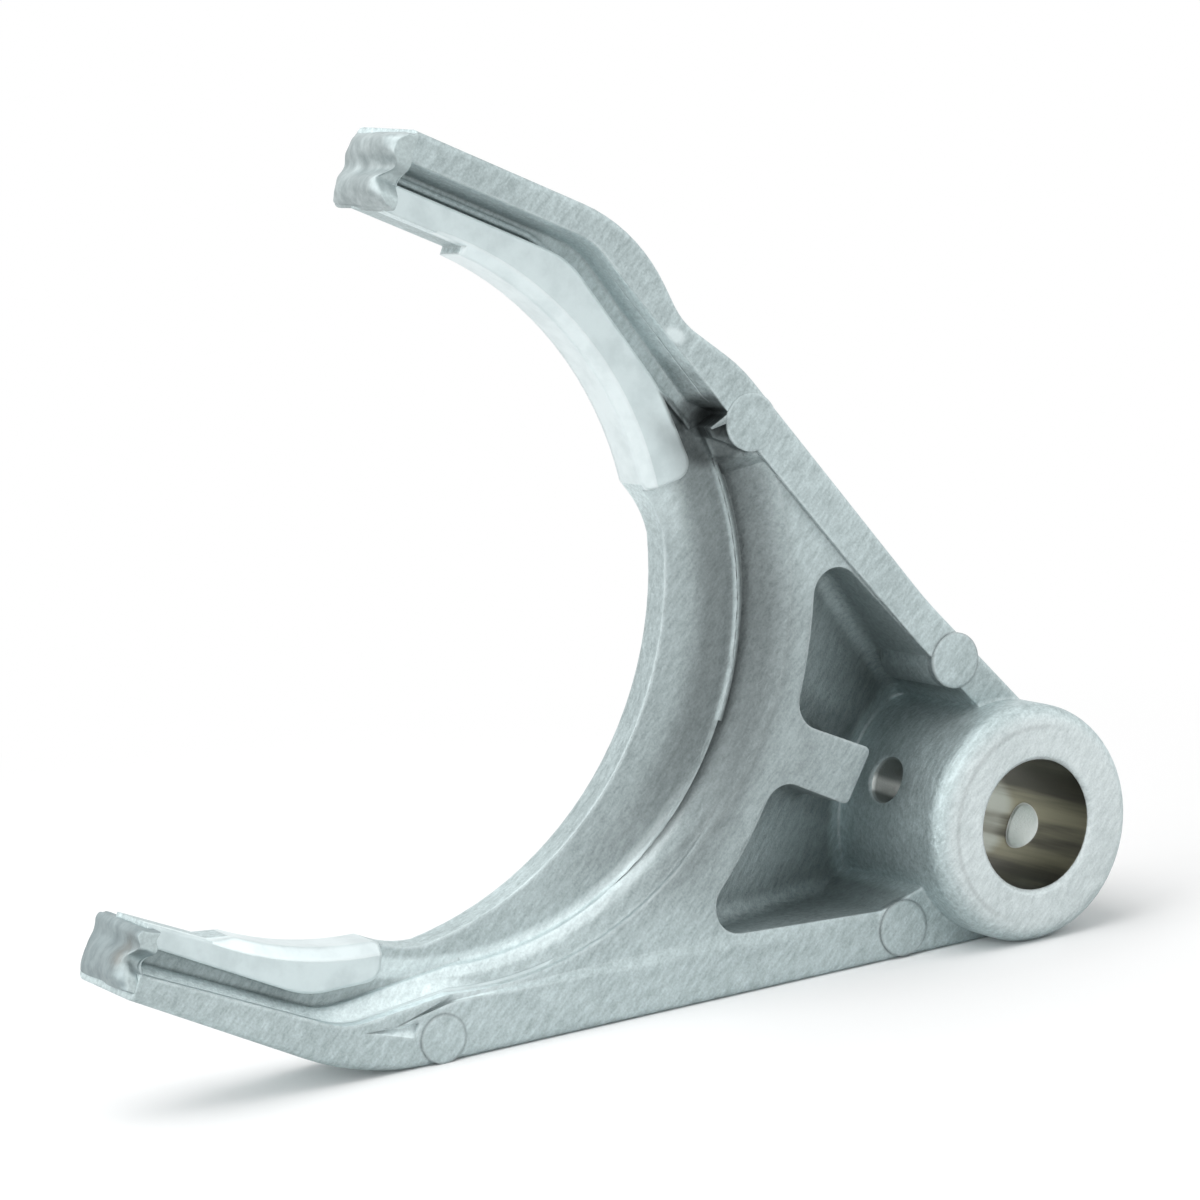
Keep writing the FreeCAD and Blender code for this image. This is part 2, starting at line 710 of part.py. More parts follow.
SUBPARTS = [fork]
for part in doc.Objects:
    if "Invalid" in part.State or "Error" in part.State:
        raise RuntimeError(part.Name + " failed: " + str(part.State))
os.makedirs("parts", exist_ok=True)
for part in SUBPARTS:
    shape = part.Shape
    if shape.isNull() or not shape.isValid():
        raise RuntimeError(part.Label + " has no valid solid")
    print(part.Label, len(shape.Solids), "solid", round(shape.Volume), "mm3", shape.BoundBox)
    shape.exportStep(os.path.join("parts", part.Label + ".step"))
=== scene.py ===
# %% [markdown]
# A gearbox shift fork, dressed for its picture
#
# The packed CAD model gives the casting at its real size. It could be modelled again
# here, but one shape for the drawing, the physics and the picture can't come apart. So
# this lesson loads it, sets up the camera, the floor and the light, and gives the
# casting its finishes: a blasted die-cast skin, milled pads, a faced boss, a reamed bore
# and two torn ends.
# %% Load the frame
import bpy
import math
from mathutils import Matrix, Vector


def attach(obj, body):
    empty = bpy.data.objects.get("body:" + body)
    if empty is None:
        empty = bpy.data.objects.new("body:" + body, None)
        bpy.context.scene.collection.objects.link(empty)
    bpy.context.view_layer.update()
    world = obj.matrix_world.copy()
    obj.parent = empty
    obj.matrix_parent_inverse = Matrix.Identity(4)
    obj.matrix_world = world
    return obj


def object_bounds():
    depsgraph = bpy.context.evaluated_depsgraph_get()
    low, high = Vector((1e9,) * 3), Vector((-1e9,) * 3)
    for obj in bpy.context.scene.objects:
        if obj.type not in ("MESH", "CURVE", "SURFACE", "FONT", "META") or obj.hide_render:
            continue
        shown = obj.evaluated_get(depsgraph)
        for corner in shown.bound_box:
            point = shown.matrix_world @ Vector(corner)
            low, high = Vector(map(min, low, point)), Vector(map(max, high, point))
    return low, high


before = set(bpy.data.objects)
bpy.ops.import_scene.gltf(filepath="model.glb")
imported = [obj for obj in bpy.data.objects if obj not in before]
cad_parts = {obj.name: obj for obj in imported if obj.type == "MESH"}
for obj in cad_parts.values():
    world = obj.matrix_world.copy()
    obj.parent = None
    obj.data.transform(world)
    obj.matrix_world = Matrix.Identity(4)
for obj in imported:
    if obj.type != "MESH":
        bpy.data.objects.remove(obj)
cad_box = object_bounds()
print("CAD box in metres:", [list(corner) for corner in cad_box])

# %% [markdown]
# The camera
#
# The fork is seen from a little above, from the side of its mouth, through a long
# lens, with the camera rolled by four degrees. A camera could be placed by eye, but
# the angles below came from matching the round edges of the boss, the bore and the
# mouth, so they are written as they were found: the turn about the vertical, the
# height above the horizon, the roll, and the place.
# %% Camera
MM = 0.001
CAMERA_PLACE = Vector((-234.095, -315.319, 85.671)) * MM
CAMERA_AZIMUTH = math.radians(-30.05)
CAMERA_HEIGHT = math.radians(8.17)
CAMERA_ROLL = math.radians(-4.01)
LENS_MM = 96.0
SENSOR_MM = 36.0
NEAREST_SHOWN = 0.01

bpy.ops.object.select_all(action="DESELECT")
bpy.ops.object.camera_add(location=CAMERA_PLACE)
camera = bpy.context.object
camera.name = "camera"
turn = Matrix.Rotation(CAMERA_AZIMUTH, 4, "Z")
lift = Matrix.Rotation(math.radians(90) - CAMERA_HEIGHT, 4, "X")
roll = Matrix.Rotation(CAMERA_ROLL, 4, "Z")
aim = turn @ lift @ roll
camera.rotation_euler = aim.to_euler()
camera.data.lens = LENS_MM
camera.data.sensor_width = SENSOR_MM
camera.data.clip_start = NEAREST_SHOWN
bpy.context.scene.camera = camera
bpy.context.scene.view_settings.view_transform = "Standard"
print("camera looks along", list(aim.to_3x3() @ Vector((0, 0, -1))))

# %% [markdown]
# Shader arithmetic
#
# Patterns such as grain and wear are sums and products of noises and masks. Wiring
# Math nodes one by one hides the formula, so a small class wraps a socket and lets
# Python's own operators add the nodes. Any other node comes from one method.
# %% Shader arithmetic


class Shade:
    """A socket in a node tree that can be reckoned with."""

    def __init__(self, tree, socket):
        self.tree = tree
        self.socket = socket

    def node(self, kind, output=0, settings=None, **values):
        """Another node of the same tree: its type, its settings, then its sockets."""
        made = self.tree.nodes.new(kind)
        for word, setting in (settings or {}).items():
            setattr(made, word, setting)
        for word, given in values.items():
            if word.startswith("input"):
                wanted = made.inputs[int(word[5:])]
            else:
                wanted = next(socket for socket in made.inputs if socket.enabled
                              and socket.name.replace(" ", "_").lower() == word)
            if isinstance(given, Shade):
                self.tree.links.new(given.socket, wanted)
            else:
                wanted.default_value = given
        return Shade(self.tree, made.outputs[output]) if made.outputs else None

    def maths(self, operation, *others):
        """A Math node on this value and others."""
        values = {"input" + str(place): other for place, other in enumerate((self,) + others)}
        return self.node("ShaderNodeMath", settings={"operation": operation}, **values)

    def __add__(self, other): return self.maths("ADD", other)
    def __radd__(self, other): return self.maths("ADD", other)
    def __sub__(self, other): return self.maths("SUBTRACT", other)
    def __rsub__(self, other): return (self * -1.0) + other
    def __mul__(self, other): return self.maths("MULTIPLY", other)
    def __rmul__(self, other): return self.maths("MULTIPLY", other)
    def __truediv__(self, other): return self.maths("DIVIDE", other)

    def above(self, low, high):
        """0 below low, 1 above high, and a smooth rise between them."""
        return self.node("ShaderNodeMapRange", settings={"interpolation_type": "SMOOTHSTEP"},
                         value=self, from_min=low, from_max=high)

    def below(self, low, high):
        """1 below low, 0 above high, and a smooth fall between them."""
        return 1.0 - self.above(low, high)

    def root(self): return self.maths("SQRT")
    def size(self): return self.maths("ABSOLUTE")
    def larger(self, other): return self.maths("MAXIMUM", other)

    def mixed(self, first, second):
        """A colour that goes from first to second as this value goes from 0 to 1."""
        return self.node("ShaderNodeMix", output=2, settings={"data_type": "RGBA"},
                         input0=self, input6=first, input7=second)

    def parts(self):
        """The three numbers of a vector."""
        split = self.node("ShaderNodeSeparateXYZ", vector=self).socket.node
        return [Shade(self.tree, split.outputs[place]) for place in range(3)]

    def noise(self, size_mm, detail=2.0, roughness=0.5):
        """A noise from 0 to 1 read at this vector in millimetres."""
        return self.node("ShaderNodeTexNoise", vector=self, scale=1.0 / size_mm,
                         detail=detail, roughness=roughness)


print("Shade knows", ", ".join(word for word in vars(Shade) if not word.startswith("__")))

# %% [markdown]
# The rays that show the ground
#
# The fork stands on a white ground with no visible edge. More light on the floor
# would burn the fork out as well, so the white comes from the ground itself, but only
# where it is seen: straight from the camera, or mirrored in the metal. A Light Path
# node tells those rays from the ones that light the fork.
# %% The rays that show the ground


def shown_rays(tree):
    """1 for the rays that show the ground: from the camera, mirrored or let through."""
    rays = tree.nodes.new("ShaderNodeLightPath")
    shown = Shade(tree, rays.outputs["Is Camera Ray"])
    for kind in ("Is Glossy Ray", "Is Transmission Ray"):
        shown = shown.larger(Shade(tree, rays.outputs[kind]))
    return shown


# %% [markdown]
# The floor
#
# In a studio the floor is a sheet of paper that bends up behind the object. One flat
# plane is enough here, because it has the colour of the world behind it. Near the fork
# it is pale paint that keeps the soft shadow, and farther out it turns plain white.
# %% Floor
BASE = cad_box[0][2]
CENTRE = (cad_box[0] + cad_box[1]) / 2
WHITE = (1, 1, 1, 1)
FLOOR_SIZE = 6.0
FLOOR_COLOUR = (0.95, 0.95, 0.95, 1)
SHADOW_REACH = 0.10
SHADOW_END = 2.2 * SHADOW_REACH

bpy.ops.mesh.primitive_plane_add(size=FLOOR_SIZE, location=(0, 0, BASE))
floor = bpy.context.object
floor.name = "floor"

floor_paint = bpy.data.materials.new("floor_paint")
floor_paint.use_nodes = True
ground = floor_paint.node_tree
ground.nodes.clear()
shown = shown_rays(ground)
floor_place = Shade(ground, ground.nodes.new("ShaderNodeTexCoord").outputs["Object"])
away = floor_place.node("ShaderNodeVectorMath", output=1, settings={"operation": "DISTANCE"},
                        input0=floor_place, input1=(CENTRE.x, CENTRE.y, 0))
far = away.above(SHADOW_REACH, SHADOW_END)
lit = shown.node("ShaderNodeBsdfDiffuse", color=FLOOR_COLOUR)
plain = shown.node("ShaderNodeEmission", color=WHITE, strength=1.0)
both = shown.node("ShaderNodeMixShader", input0=shown * far, input1=lit, input2=plain)
shown.node("ShaderNodeOutputMaterial", surface=both)
floor.data.materials.append(floor_paint)
print("floor at", round(BASE / MM, 2), "mm")

# %% [markdown]
# The world
#
# A real studio lights an object from all round a little, by its walls. A picture of a
# room could be wrapped round the scene, but a plain background gives the same with one
# number. It lights dull surfaces at about half strength and is seen as plain white.
# %% World
WORLD_ON_OBJECT = 0.55

world = bpy.data.worlds.new("studio")
bpy.context.scene.world = world
world.use_nodes = True
sky = world.node_tree
sky.nodes.clear()
shown = shown_rays(sky)
soft = shown.node("ShaderNodeBackground", color=WHITE, strength=WORLD_ON_OBJECT)
white = shown.node("ShaderNodeBackground", color=WHITE, strength=1.0)
blend = shown.node("ShaderNodeMixShader", input0=shown, input1=soft, input2=white)
shown.node("ShaderNodeOutputWorld", surface=blend)
print("the world lights at", WORLD_ON_OBJECT, "and shows as 1.0")

# %% [markdown]
# The lamps
#
# The edges that face up and to the left are bright. One broad lamp above does the first,
# one from the left lights the wall of the mouth and the side of the boss, and a weak
# one from the right keeps the underside of the arm from going black. All are large next
# to the fork, so that no hard shadow shows.
# %% Lamps


def soft_box(name, place, side, watts):
    """A square lamp that faces the middle of the fork."""
    bpy.ops.object.light_add(type="AREA", location=place)
    lamp = bpy.context.object
    lamp.name = name
    lamp.data.shape = "RECTANGLE"
    lamp.data.size = lamp.data.size_y = side
    lamp.data.energy = watts
    lamp.rotation_euler = (CENTRE - Vector(place)).to_track_quat("-Z", "Y").to_euler()
    print(name, "has", watts, "W on a side of", side, "m")


soft_box("top_light", (-0.35, 0.0, 0.8), 0.8, 4.3)
soft_box("left_light", (-0.75, -0.1, 0.25), 0.5, 2.0)
soft_box("right_light", (0.7, -0.3, 0.5), 0.4, 1.0)

# %% [markdown]
# Places on the fork
#
# The finishes change from place to place: the pads are milled, the boss is faced,
# the bore is reamed. The faces could be given one by one to several materials, but
# the machined places are plain shapes about the rail and about the sleeve, so one
# material reads where it is: across and up from the rail, with the line from the rail
# to the sleeve laid level, and the depth behind the boss's front, all in millimetres.
# %% Places on the fork
STANCE = math.radians(24.6)
HALF_BOSS = 12.6
SLEEVE = 94.1
PER_METRE = (1000, 1000, 1000)

cast = bpy.data.materials.new("cast_aluminium")
cast.use_nodes = True
tree = cast.node_tree
surface = tree.nodes["Principled BSDF"]
object_place = Shade(tree, tree.nodes.new("ShaderNodeTexCoord").outputs["Object"])
level = object_place.node("ShaderNodeMapping", vector=object_place, scale=PER_METRE)
place = level.node("ShaderNodeMapping", vector=level, location=(0, HALF_BOSS, 0),
                   rotation=(0, -STANCE, 0))
across, depth, up = place.parts()


def distance_from(there, height):
    """How far the surface lies from a point in the plane of the fork, in millimetres."""
    return ((across - there) * (across - there) + (up - height) * (up - height)).root()


from_rail = (across * across + up * up).root()
from_sleeve = ((across + SLEEVE) * (across + SLEEVE) + up * up).root()
from_pin = ((depth - HALF_BOSS) * (depth - HALF_BOSS) + up * up).root()
print("nodes with the places:", len(tree.nodes))

# %% [markdown]
# The way a face looks
#
# The back of the fork lies behind its front at the same place across and up, and a
# channel has a wall on either side. Depth alone can't part them everywhere, so the
# direction of the surface does: off_back is 1 on all but the faces that look back, and
# from_mouth is 1 on a wall that looks out of the mouth and -1 on one that looks into it.
# %% The way a face looks
true_normal = Shade(tree, tree.nodes.new("ShaderNodeNewGeometry").outputs["Normal"])
facing = true_normal.node("ShaderNodeMapping", vector=true_normal, rotation=(0, -STANCE, 0))
facing_across, facing_back, facing_up = facing.parts()
off_back = facing_back.below(0.15, 0.4)
from_mouth = (facing_across * (across + SLEEVE) + facing_up * up) / from_sleeve
print("nodes with the way the faces look:", len(tree.nodes))

# %% [markdown]
# Masks for the machined places
#
# Each mask is 1 on its place and 0 elsewhere. The bearing faces of the pads lie on the
# sleeve's circle, the pads' fronts lie at one depth, the boss is faced inside its
# rounded edge, and the bore and the pin hole are known by their radii. They could be
# painted by hand, but the radii and depths of the model give clean borders. The two
# numbers of each above or below are where the change starts and where it is done.
# %% Masks
PAD_FRONT = 8.0
PAD_START = -97.1
RIB_RADIUS = 50.0
SLEEVE_RADIUS = 39.1
CHAMFER_RADIUS = 40.45
CHAMFER_DEPTH = 9.5
BORE_RADIUS = 7.975
BORE_START = 0.45
PIN_RADIUS = 2.78
PIN_REACH = 16.0
FACED_RADIUS = 12.0
BOSS_RADIUS = 14.6
EDGE_DEPTH = 2.7

front_of_pad = (depth - PAD_FRONT).size().below(0.04, 0.09)
front_of_pad = front_of_pad * from_sleeve.below(RIB_RADIUS, RIB_RADIUS + 0.2)
bearing = from_sleeve.below(SLEEVE_RADIUS + 0.1, SLEEVE_RADIUS + 0.2)
chamfer = from_sleeve.below(CHAMFER_RADIUS, CHAMFER_RADIUS + 0.1)
chamfer = chamfer * depth.below(CHAMFER_DEPTH, CHAMFER_DEPTH + 0.1)
started = across.above(PAD_START, PAD_START + 0.1)
milled = bearing.larger(chamfer) * started * depth.above(PAD_FRONT - 0.1, PAD_FRONT - 0.05)
faced = from_rail.below(FACED_RADIUS + 0.4, BOSS_RADIUS - 0.4)
faced = faced * depth.below(EDGE_DEPTH - 0.5, EDGE_DEPTH)
reamed = from_rail.below(BORE_RADIUS + 0.15, BORE_RADIUS + 0.25)
reamed = reamed * depth.above(BORE_START, BORE_START + 0.15)
drilled = from_pin.below(PIN_RADIUS + 0.12, PIN_RADIUS + 0.2)
drilled = drilled * from_rail.below(PIN_REACH, PIN_REACH + 0.1)
print("nodes with the machined places:", len(tree.nodes))

# %% [markdown]
# Lines and a painted highlight
#
# A few faint lines draw the casting: the ring where the facing cut ends on the boss, and
# the joint round three of the four ejector posts. The fourth post runs into the casting
# and shows no joint. One spot on the ridge beside the upper channel gets a painted
# highlight. Grooves in the mesh would take many faces for lines this faint, so a change
# of tone draws them, at a distance from the middle of each circle.
# %% Lines and a painted highlight
POSTS = [(-14.3, 16.0, 3.4), (-10.2, -16.7, 3.4), (-67.1, -43.7, 2.8)]
POST_TOP = 7.4
RING_DARK = 0.14
JOINT_DARK = 0.24
HIGHLIGHT_SPOT_ACROSS, HIGHLIGHT_SPOT_UP = -65.4, 39.5
HIGHLIGHT_SPOT_SCALE_ACROSS = 0.6

facing_ring = (from_rail - FACED_RADIUS).size().below(0.05, 0.5) * depth.below(0.3, 0.4)
joints = facing_ring * across.below(-6.0, 2.0) * RING_DARK
for there, height, radius in POSTS:
    around = (distance_from(there, height) - radius).size().below(0.05, 0.3)
    joints = joints + around * depth.below(POST_TOP, POST_TOP + 0.2) * JOINT_DARK
# A painted highlight: a bright spot on the ridge beside the upper channel.
along = (across - HIGHLIGHT_SPOT_ACROSS) * HIGHLIGHT_SPOT_SCALE_ACROSS
aside = up - HIGHLIGHT_SPOT_UP
highlight_spot = (along * along + aside * aside).root().below(0.5, 1.2)
highlight_spot = highlight_spot * depth.below(7.0, 7.4) * 0.75
print("nodes with the joints of", len(POSTS), "posts:", len(tree.nodes))

# %% [markdown]
# Painted shade in the pocket and the corners
#
# The pocket, the valley and the corners get painted shade, darker than the rest of the
# skin. An Ambient Occlusion node finds how open each place is: one with a long reach for
# the pocket, one with a short reach for the corners of the channels. The shadows alone
# would do it in part, but the light in this white room is too even for them.
# %% Openness
LONG_REACH = 18 * MM
SHORT_REACH = 2.2 * MM


def openness(reach):
    """1 where nothing of the fork stands near a place, down to 0 in a deep corner."""
    return object_place.node("ShaderNodeAmbientOcclusion", output=1,
                             settings={"samples": 6, "only_local": True}, distance=reach)


off_boss = from_rail.above(15.4, 17.5)
behind_arc = across.above(-66.0, -52.0) * up.below(30.0, 34.0) * off_boss * off_back
# Painted shade: the pocket and the corners go darker where the fork closes them in.
pocket_painted_shade = (1.0 - openness(LONG_REACH).above(0.2, 0.8)) * behind_arc * 0.44
corner_painted_shade = (1.0 - openness(SHORT_REACH).above(0.2, 0.8)) * off_boss * 0.3
print("nodes with the pocket and the corners:", len(tree.nodes))

# %% [markdown]
# The valley, the web and the spoke
#
# Round the step of the mouth runs a shallow valley, which gets painted shade, and the
# web and the spoke behind it get a little painted shade, darker than the rim. They are
# too open for the node above, so the shade is drawn by their distance from the middle of
# the step, and by how far up they lie.
# %% The valley, the web and the spoke
STEP_CENTRE = (-82.0, 0.7)
STEP_RADIUS = 39.0
FRONT_FACE = 6.5

from_step = distance_from(*STEP_CENTRE)
valley = from_step.above(39.5, 40.0) * from_step.below(42.5, 47.5)
valley = valley * depth.above(FRONT_FACE, 7.2)
before_step = from_step.above(32.0, 36.5) * from_step.below(STEP_RADIUS, STEP_RADIUS + 0.4)
# Painted shade in the valley and on the slope before the step.
shaded = (valley * 0.53 + before_step * 0.45) * up.above(-34.0, 2.0) * up.below(28.0, 31.5)
middle = up.above(-26.0, -16.0) * up.below(14.0, 24.0)
web_painted_shade = from_step.above(40.0, 44.0) * from_step.below(50.0, 58.0) * middle * 0.22
arc_painted_shade = from_sleeve.above(39.3, 41.0) * from_step.below(STEP_RADIUS, STEP_RADIUS + 0.4)
arc_painted_shade = arc_painted_shade * middle * 0.15
spoke_painted_shade = across.above(-36.0, -20.0) * up.size().below(5.0, 8.0) * off_boss * 0.25
print("nodes with the valley, the web and the spoke:", len(tree.nodes))

# %% [markdown]
# The pit by the upper post
#
# The upper post stands beside a small pit, which gets the darkest painted shade, and a
# spur of it would catch the light. A few round spots of painted shade on the front half
# cover them, with soft rims, so that the flat faces of the pit don't show.
# %% The pit by the upper post
PIT = (-55.6, 31.6)
PIT_CORNER = (-55.5, 32.4)
SPUR = (-56.6, 31.9)

before_middle = depth.below(11.5, 12.5)
# Painted shade in the pit.
pit = distance_from(*PIT).below(3.6, 5.4) * depth.above(FRONT_FACE, 6.8) * before_middle
by_pad = from_sleeve.above(44.2, 44.8) * from_sleeve.below(46.8, 47.2)
by_pad = by_pad * up.above(29.6, 30.4) * up.below(32.8, 33.4)
deep_corner_painted_shade = distance_from(*PIT_CORNER).below(1.4, 2.2).larger(by_pad)
deep_corner_painted_shade = deep_corner_painted_shade * depth.above(6.52, 6.6) * before_middle * 0.5
# Painted shade on the spur, where it would catch the light.
spur = distance_from(*SPUR).below(1.2, 2.0) * before_middle * 0.35
print("nodes with the pit:", len(tree.nodes))

# %% [markdown]
# All the painted shade, and the joints
#
# All of these places are painted shade, except the joints and the facing ring, which are
# lines of the casting. Where two of them overlap, the darkness shouldn't add up to black.
# So each is taken as the share of the tone that it leaves, and the shares are
# multiplied. Those that were drawn for the front leave the back alone.
# %% All the painted shade, and the joints
front_painted_shade = 1.0 - deep_corner_painted_shade
for dark in (spur, shaded, web_painted_shade, arc_painted_shade, spoke_painted_shade, pit * 0.55):
    front_painted_shade = front_painted_shade * (1.0 - dark)
# skin is the share of the colour left by all the painted shade and the dark joints.
skin = 1.0 - off_back * (1.0 - front_painted_shade)
for dark in (pocket_painted_shade, corner_painted_shade, joints):
    skin = skin * (1.0 - dark)
print("nodes with the whole of the sheltered skin:", len(tree.nodes))

# %% [markdown]
# Painted light on the slopes
#
# Other slopes catch more light than the rest, and that light is painted in as a paler
# tone: the walls of the two channels that look into the mouth, the step below the rail,
# the inner edge above it, the slope beside the lowest post, and, a little, the ends of
# the prongs. A lamp for each would light its neighbours as well, so the painted light is
# in the material.
# %% Painted light on the slopes
END_SLANT = -0.187
POST_SLOPE = (-74.5, -44.3)

channel_walls = depth.above(6.55, 6.8) * depth.below(9.9, 10.3) * (1.0 - front_of_pad)
channel_walls = channel_walls * up.size().above(36.0, 38.0) * across.below(-60.0, -57.0)
channel_walls = channel_walls * from_mouth.below(-0.3, 0.1)
lit_step = from_step.above(37.9, 38.7) * from_step.below(40.2, 41.0)
lit_step = lit_step * up.below(-14.0, -6.0) * depth.above(6.4, 6.7)
inner_edge = from_sleeve.below(43.0, 46.0) * up.above(16.0, 24.0) * up.below(32.0, 36.0)
by_post = distance_from(*POST_SLOPE).below(4.0, 6.5) * depth.above(6.52, 6.6)
by_post = by_post * depth.below(8.0, 9.0) * up.above(-47.6, -47.0)
to_end = across - depth * END_SLANT + up.below(-1.0, 1.0)
prong_ends = to_end.below(-102.35, -102.25)

# pale is the painted light on these slopes.
pale = (channel_walls * 0.85).larger(lit_step * 0.8)
pale = pale.larger(inner_edge * 0.6).larger(by_post * 0.85)
pale = (pale * off_back).larger(prong_ends * 0.3)
print("nodes with the pale slopes:", len(tree.nodes))

# %% [markdown]
# Soft edges
#
# No edge of a casting is sharp, and the ones that stand out are a little brighter: partly
# rubbed by handling, partly a painted highlight along each edge. Rounding every edge of
# the mesh would take many faces, so a Bevel node turns the normals near each edge
# instead. Where the turned normal leaves the true one, an edge is near, and an open place
# tells a standing edge from a corner. A noise breaks the bright line up, and the torn
# ends of the prongs have none.
# %% Soft edges
EDGE_ROUND = 0.8 * MM

edge = object_place.node("ShaderNodeBevel", settings={"samples": 6}, radius=EDGE_ROUND)
alike = edge.node("ShaderNodeVectorMath", output=1, settings={"operation": "DOT_PRODUCT"},
                  input0=edge, input1=true_normal)
# Partly wear and partly a painted highlight along the standing edges.
edge_wear_and_highlight = (1.0 - alike).above(0.01, 0.16) * openness(SHORT_REACH).above(0.5, 0.75)
edge_wear_and_highlight = edge_wear_and_highlight * (1.0 - pit) * to_end.above(-101.6, -101.0)
edge_wear_and_highlight = edge_wear_and_highlight * (level.noise(2.5).above(0.35, 0.6) * 0.6 + 0.4)
print("nodes with the worn edges:", len(tree.nodes))

# %% [markdown]
# The cast skin
#
# A die casting that has been blasted is covered with a fine grain, and here the grain
# runs in short slanting streaks. A picture of it would have to be unwrapped round the
# whole casting, and a noise needs no unwrapping: one stretched along the streaks makes
# them, a finer one breaks them up, and a broad one lets the tone wander a little.
# %% Cast grain
STREAK_TURN = math.radians(45)
STREAK_STRETCH = (0.3, 1.0, 1.0)
STREAK_SIZE, FINE_SIZE, BROAD_SIZE = 0.6, 0.28, 14.0

streak_place = level.node("ShaderNodeMapping", vector=level, rotation=(0, STREAK_TURN, 0))
streak_place = streak_place.node("ShaderNodeMapping", vector=streak_place, scale=STREAK_STRETCH)
streaks = streak_place.noise(STREAK_SIZE, detail=3.0, roughness=0.6)
fine = level.noise(FINE_SIZE, roughness=0.6)
broad = level.noise(BROAD_SIZE)
grain = streaks * 0.6 + fine * 0.4
tone = (grain - 0.5) * 3.0 + (broad - 0.5) * 0.8 + 0.5
print("nodes with the grain:", len(tree.nodes))

# %% [markdown]
# Colours
#
# Metal that reflects a white room shows at about the colour that is written here, so the
# blasted skin is a middle grey and a milled face is paler. Each finish takes over from
# the one before by its mask. Painted light goes on the slopes and painted highlights on
# the edges and one spot, and at the end the painted shade and the dark joints darken
# them all.
# %% Colours of the skin and the milled faces
CAST_DARK = (0.37, 0.435, 0.44, 1)
CAST_LIGHT = (0.59, 0.675, 0.685, 1)
RIB_DARK = (0.56, 0.645, 0.655, 1)
RIB_LIGHT = (0.64, 0.73, 0.74, 1)
LIT_SLOPE_DARK = (0.64, 0.73, 0.74, 1)
LIT_SLOPE_LIGHT = (0.86, 0.95, 0.96, 1)
MILLED_DARK = (0.67, 0.75, 0.76, 1)
MILLED_LIGHT = (0.76, 0.84, 0.85, 1)
FACED_DARK = (0.51, 0.57, 0.575, 1)
FACED_LIGHT = (0.73, 0.79, 0.795, 1)
MILLED_SIZE = 4.0

colour = tone.mixed(CAST_DARK, CAST_LIGHT)
# Painted light on the slopes.
colour = pale.mixed(colour, tone.mixed(LIT_SLOPE_DARK, LIT_SLOPE_LIGHT))
milled_tone = level.noise(MILLED_SIZE, detail=4.0, roughness=0.6).above(0.3, 0.62)
colour = front_of_pad.mixed(colour, milled_tone.mixed(RIB_DARK, RIB_LIGHT))
colour = milled.mixed(colour, milled_tone.mixed(MILLED_DARK, MILLED_LIGHT))
colour = faced.mixed(colour, tone.mixed(FACED_DARK, FACED_LIGHT))
# Painted highlights on the edges and on one spot, in the pale milled colour.
colour = (edge_wear_and_highlight * (1.0 - reamed) * 0.6).mixed(colour, MILLED_LIGHT)
colour = highlight_spot.mixed(colour, MILLED_LIGHT)
# The painted shade and the dark joints darken the colour here.
darkened = {"data_type": "RGBA", "blend_type": "MULTIPLY"}
colour = skin.node("ShaderNodeMix", output=2, settings=darkened,
                   input0=1.0, input6=colour, input7=skin)
print("nodes with the colours of the skin:", len(tree.nodes))

# %% [markdown]
# The bore and the pin hole
#
# The reamed bore is smooth, with streaks along its length. Its colour is painted shade,
# darker towards the top and the bottom, and past the pin hole a paler painted reflection
# of the far opening. The wall of the pin hole gets a painted highlight where the light
# from the far opening runs along it. Inside a hole the light needs many bounces to come
# out right, and a few more colours and a stretched noise give the same at once.
# %% Bore and pin hole
BORE_SHADE_DARK = (0.085, 0.085, 0.07, 1)
BORE_SHADE_LIGHT = (0.29, 0.285, 0.205, 1)
BORE_REFLECTION_DARK = (0.22, 0.225, 0.19, 1)
BORE_REFLECTION_LIGHT = (0.42, 0.45, 0.40, 1)
PIN_SHADED = (0.32, 0.36, 0.355, 1)
PIN_LIT = (0.88, 0.92, 0.90, 1)
BORE_STRETCH = (1.0, 0.06, 1.0)
BORE_STREAK_SIZE = 4.0

bore_place = place.node("ShaderNodeMapping", vector=place, scale=BORE_STRETCH)
bore_streaks = bore_place.noise(BORE_STREAK_SIZE, detail=4.0, roughness=0.6).above(0.38, 0.66)
# Painted shade: the streaks fade, and the bore goes darker, towards its top and bottom.
bore_streaks = bore_streaks * (1.0 - up.size().above(2.5, 7.5) * 0.6)
bore_shaded = bore_streaks.mixed(BORE_SHADE_DARK, BORE_SHADE_LIGHT)
bore_reflection = bore_streaks.mixed(BORE_REFLECTION_DARK, BORE_REFLECTION_LIGHT)
# A painted reflection of the far opening, past the pin hole.
reflection_past_pin = (depth + bore_streaks * 1.5).above(15.8, 18.6)
colour = reamed.mixed(colour, reflection_past_pin.mixed(bore_shaded, bore_reflection))
# A painted highlight along the wall of the pin hole.
glint = (up + (depth - HALF_BOSS) * 0.5 - 0.6).size().below(0.5, 1.5)
glint = glint * depth.above(HALF_BOSS, HALF_BOSS + 0.5)
# Painted light on the glint and on the hole past the middle of the bore; painted shade elsewhere.
pin_lit_wall = glint.larger(across.above(0.0, 1.0))
colour = drilled.mixed(colour, pin_lit_wall.mixed(PIN_SHADED, PIN_LIT))
print("nodes with the bore and the pin hole:", len(tree.nodes))

# %% [markdown]
# Gloss and relief
#
# The blasted skin scatters the light, and the cut faces are smoother. Real relief this
# fine would take millions of faces, so a Bump node tilts the normals instead: it lays the
# grain on top of the rounded edges, in all but the smooth places.
# %% Gloss and relief
CAST_ROUGHNESS = 0.62
SMOOTHER_CUT = 0.22
RELIEF_HEIGHT = 0.16 * MM

